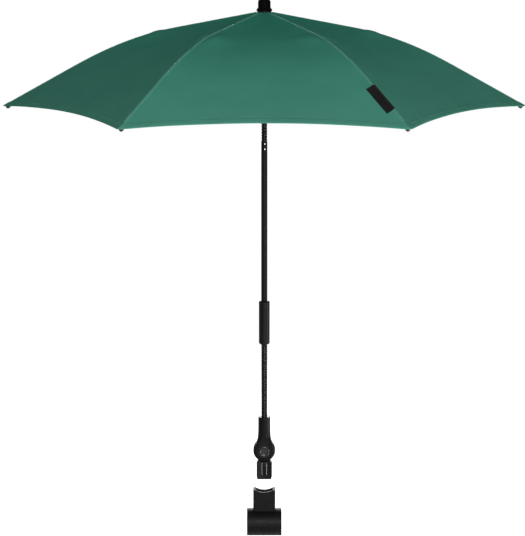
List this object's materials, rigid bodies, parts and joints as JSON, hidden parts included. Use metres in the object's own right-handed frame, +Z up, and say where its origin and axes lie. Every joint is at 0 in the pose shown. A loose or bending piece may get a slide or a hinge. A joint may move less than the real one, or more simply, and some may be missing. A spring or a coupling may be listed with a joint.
{
  "type": "pram parasol",
  "caption": "Green cloth parasol on a thin black mast with flexible necks, a tilting head and a plug-in clip that snaps onto a pram's frame tube.",
  "frame": {"origin": "middle of the clip's tube bore", "axes": "+X along the frame tube, +Z up the mast, front towards -Y, as pictured"},
  "size_m": [0.7262, 0.6296, 0.7637],
  "materials": {
    "black_plastic": "satin",
    "liner_rubber": "matte",
    "black_tube": "satin black",
    "bright_steel": "drawn wire",
    "green_cloth": "woven"
  },
  "bodies": {
    "clip": {"clip_body": "black_plastic", "clip_liner": "liner_rubber"},
    "tongue": {"tongue": "black_plastic", "pivot_washers": "bright_steel"},
    "head": {"pivot_head": "black_plastic", "pivot_pin": "bright_steel", "pivot_cap_front": "black_plastic", "pivot_cap_back": "black_plastic", "lower_neck_foot": "black_tube", "lower_neck_winding": "black_tube"},
    "lower_link_1": {"lower_neck_link_1": "black_tube"},
    "lower_link_2": {"lower_neck_link_2": "black_tube"},
    "lower_link_3": {"lower_neck_link_3": "black_tube"},
    "sleeve": {"lower_neck_head": "black_tube", "sleeve": "black_plastic", "sleeve_bush": "black_plastic"},
    "mast": {"mast_tube": "black_tube", "upper_neck_collar": "black_tube", "upper_neck_winding": "black_tube"},
    "upper_link_1": {"upper_neck_link_1": "black_tube"},
    "shaft": {"upper_neck_head": "black_tube", "upper_mast": "black_tube", "crown": "black_plastic", "crown_wire": "bright_steel", "cap_washer": "black_plastic", "top_cap": "black_plastic"},
    "runner": {"runner": "black_plastic", "runner_wire": "bright_steel"},
    "rib_1": {"rib_1": "bright_steel", "rib_tip_1": "black_plastic", "canopy_panel_1": "green_cloth"},
    "stretcher_1": {"stretcher_1": "bright_steel"},
    "rib_2": {"rib_2": "bright_steel", "rib_tip_2": "black_plastic", "canopy_panel_2": "green_cloth"},
    "stretcher_2": {"stretcher_2": "bright_steel"},
    "rib_3": {"rib_3": "bright_steel", "rib_tip_3": "black_plastic", "canopy_panel_3": "green_cloth"},
    "stretcher_3": {"stretcher_3": "bright_steel"},
    "rib_4": {"rib_4": "bright_steel", "rib_tip_4": "black_plastic", "canopy_panel_4": "green_cloth"},
    "stretcher_4": {"stretcher_4": "bright_steel"},
    "rib_5": {"rib_5": "bright_steel", "rib_tip_5": "black_plastic", "canopy_panel_5": "green_cloth"},
    "stretcher_5": {"stretcher_5": "bright_steel"},
    "rib_6": {"rib_6": "bright_steel", "rib_tip_6": "black_plastic", "canopy_panel_6": "green_cloth"},
    "stretcher_6": {"stretcher_6": "bright_steel"}
  },
  "joints": [
    {"name": "tongue_insert", "type": "slide", "parent": "clip", "child": "tongue", "axis": [0, 0, -1], "range_m": [0, 0.043]},
    {"name": "head_tilt", "type": "hinge", "parent": "tongue", "child": "head", "pos_m": [0, 0, 0.106], "axis": [0, 1, 0], "range_deg": [-85, 85]},
    {"name": "lower_neck_pitch", "type": "hinge", "parent": "head", "child": "lower_link_1", "pos_m": [0, 0, 0.1685], "axis": [1, 0, 0], "range_deg": [-30, 30], "deforming": ["lower_neck_winding"]},
    {"name": "lower_neck_roll", "type": "hinge", "parent": "lower_link_1", "child": "lower_link_2", "pos_m": [0, 0, 0.1945], "axis": [0, 1, 0], "range_deg": [-30, 30]},
    {"name": "lower_neck_pitch_2", "type": "hinge", "parent": "lower_link_2", "child": "lower_link_3", "pos_m": [0, 0, 0.2205], "axis": [1, 0, 0], "range_deg": [-30, 30]},
    {"name": "lower_neck_roll_2", "type": "hinge", "parent": "lower_link_3", "child": "sleeve", "pos_m": [0, 0, 0.2465], "axis": [0, 1, 0], "range_deg": [-30, 30]},
    {"name": "mast_swivel", "type": "hinge", "parent": "sleeve", "child": "mast", "pos_m": [0, 0, 0.3224], "axis": [0, 0, 1], "continuous": true},
    {"name": "upper_neck_pitch", "type": "hinge", "parent": "mast", "child": "upper_link_1", "pos_m": [0, 0, 0.5599], "axis": [1, 0, 0], "range_deg": [0, 30], "deforming": ["upper_neck_winding"]},
    {"name": "upper_neck_pitch_2", "type": "hinge", "parent": "upper_link_1", "child": "shaft", "pos_m": [0, 0, 0.5839], "axis": [1, 0, 0], "range_deg": [0, 30]},
    {"name": "runner_slide", "type": "slide", "parent": "shaft", "child": "runner", "axis": [0, 0, 1], "range_m": [-0.18498, 0], "deforming": ["canopy_panel_1", "canopy_panel_2", "canopy_panel_3", "canopy_panel_4", "canopy_panel_5", "canopy_panel_6"]},
    {"name": "rib_1_fold", "type": "hinge", "parent": "shaft", "child": "rib_1", "pos_m": [0.008, 0, 0.723], "axis": [0, 1, 0], "range_deg": [0, 66]},
    {"name": "stretcher_1_fold", "type": "hinge", "parent": "runner", "child": "stretcher_1", "pos_m": [0.011, 0, 0.6311], "axis": [0, -1, 0], "range_deg": [0, 51.84]},
    {"name": "rib_2_fold", "type": "hinge", "parent": "shaft", "child": "rib_2", "pos_m": [0.004, 0.00693, 0.723], "axis": [-0.866, 0.5, 0], "range_deg": [0, 66]},
    {"name": "stretcher_2_fold", "type": "hinge", "parent": "runner", "child": "stretcher_2", "pos_m": [0.0055, 0.00953, 0.6311], "axis": [0.866, -0.5, 0], "range_deg": [0, 51.84]},
    {"name": "rib_3_fold", "type": "hinge", "parent": "shaft", "child": "rib_3", "pos_m": [-0.004, 0.00693, 0.723], "axis": [-0.866, -0.5, 0], "range_deg": [0, 66]},
    {"name": "stretcher_3_fold", "type": "hinge", "parent": "runner", "child": "stretcher_3", "pos_m": [-0.0055, 0.00953, 0.6311], "axis": [0.866, 0.5, 0], "range_deg": [0, 51.84]},
    {"name": "rib_4_fold", "type": "hinge", "parent": "shaft", "child": "rib_4", "pos_m": [-0.008, 0, 0.723], "axis": [0, -1, 0], "range_deg": [0, 66]},
    {"name": "stretcher_4_fold", "type": "hinge", "parent": "runner", "child": "stretcher_4", "pos_m": [-0.011, 0, 0.6311], "axis": [0, 1, 0], "range_deg": [0, 51.84]},
    {"name": "rib_5_fold", "type": "hinge", "parent": "shaft", "child": "rib_5", "pos_m": [-0.004, -0.00693, 0.723], "axis": [0.866, -0.5, 0], "range_deg": [0, 66]},
    {"name": "stretcher_5_fold", "type": "hinge", "parent": "runner", "child": "stretcher_5", "pos_m": [-0.0055, -0.00953, 0.6311], "axis": [-0.866, 0.5, 0], "range_deg": [0, 51.84]},
    {"name": "rib_6_fold", "type": "hinge", "parent": "shaft", "child": "rib_6", "pos_m": [0.004, -0.00693, 0.723], "axis": [0.866, 0.5, 0], "range_deg": [0, 66]},
    {"name": "stretcher_6_fold", "type": "hinge", "parent": "runner", "child": "stretcher_6", "pos_m": [0.0055, -0.00953, 0.6311], "axis": [-0.866, -0.5, 0], "range_deg": [0, 51.84]}
  ],
  "couplings": [
    {"joint": "rib_1_fold", "follows": "runner_slide", "rad_per_m": -6.2272},
    {"joint": "stretcher_1_fold", "follows": "runner_slide", "rad_per_m": -4.8915},
    {"joint": "rib_2_fold", "follows": "runner_slide", "rad_per_m": -6.2272},
    {"joint": "stretcher_2_fold", "follows": "runner_slide", "rad_per_m": -4.8915},
    {"joint": "rib_3_fold", "follows": "runner_slide", "rad_per_m": -6.2272},
    {"joint": "stretcher_3_fold", "follows": "runner_slide", "rad_per_m": -4.8915},
    {"joint": "rib_4_fold", "follows": "runner_slide", "rad_per_m": -6.2272},
    {"joint": "stretcher_4_fold", "follows": "runner_slide", "rad_per_m": -4.8915},
    {"joint": "rib_5_fold", "follows": "runner_slide", "rad_per_m": -6.2272},
    {"joint": "stretcher_5_fold", "follows": "runner_slide", "rad_per_m": -4.8915},
    {"joint": "rib_6_fold", "follows": "runner_slide", "rad_per_m": -6.2272},
    {"joint": "stretcher_6_fold", "follows": "runner_slide", "rad_per_m": -4.8915}
  ]
}
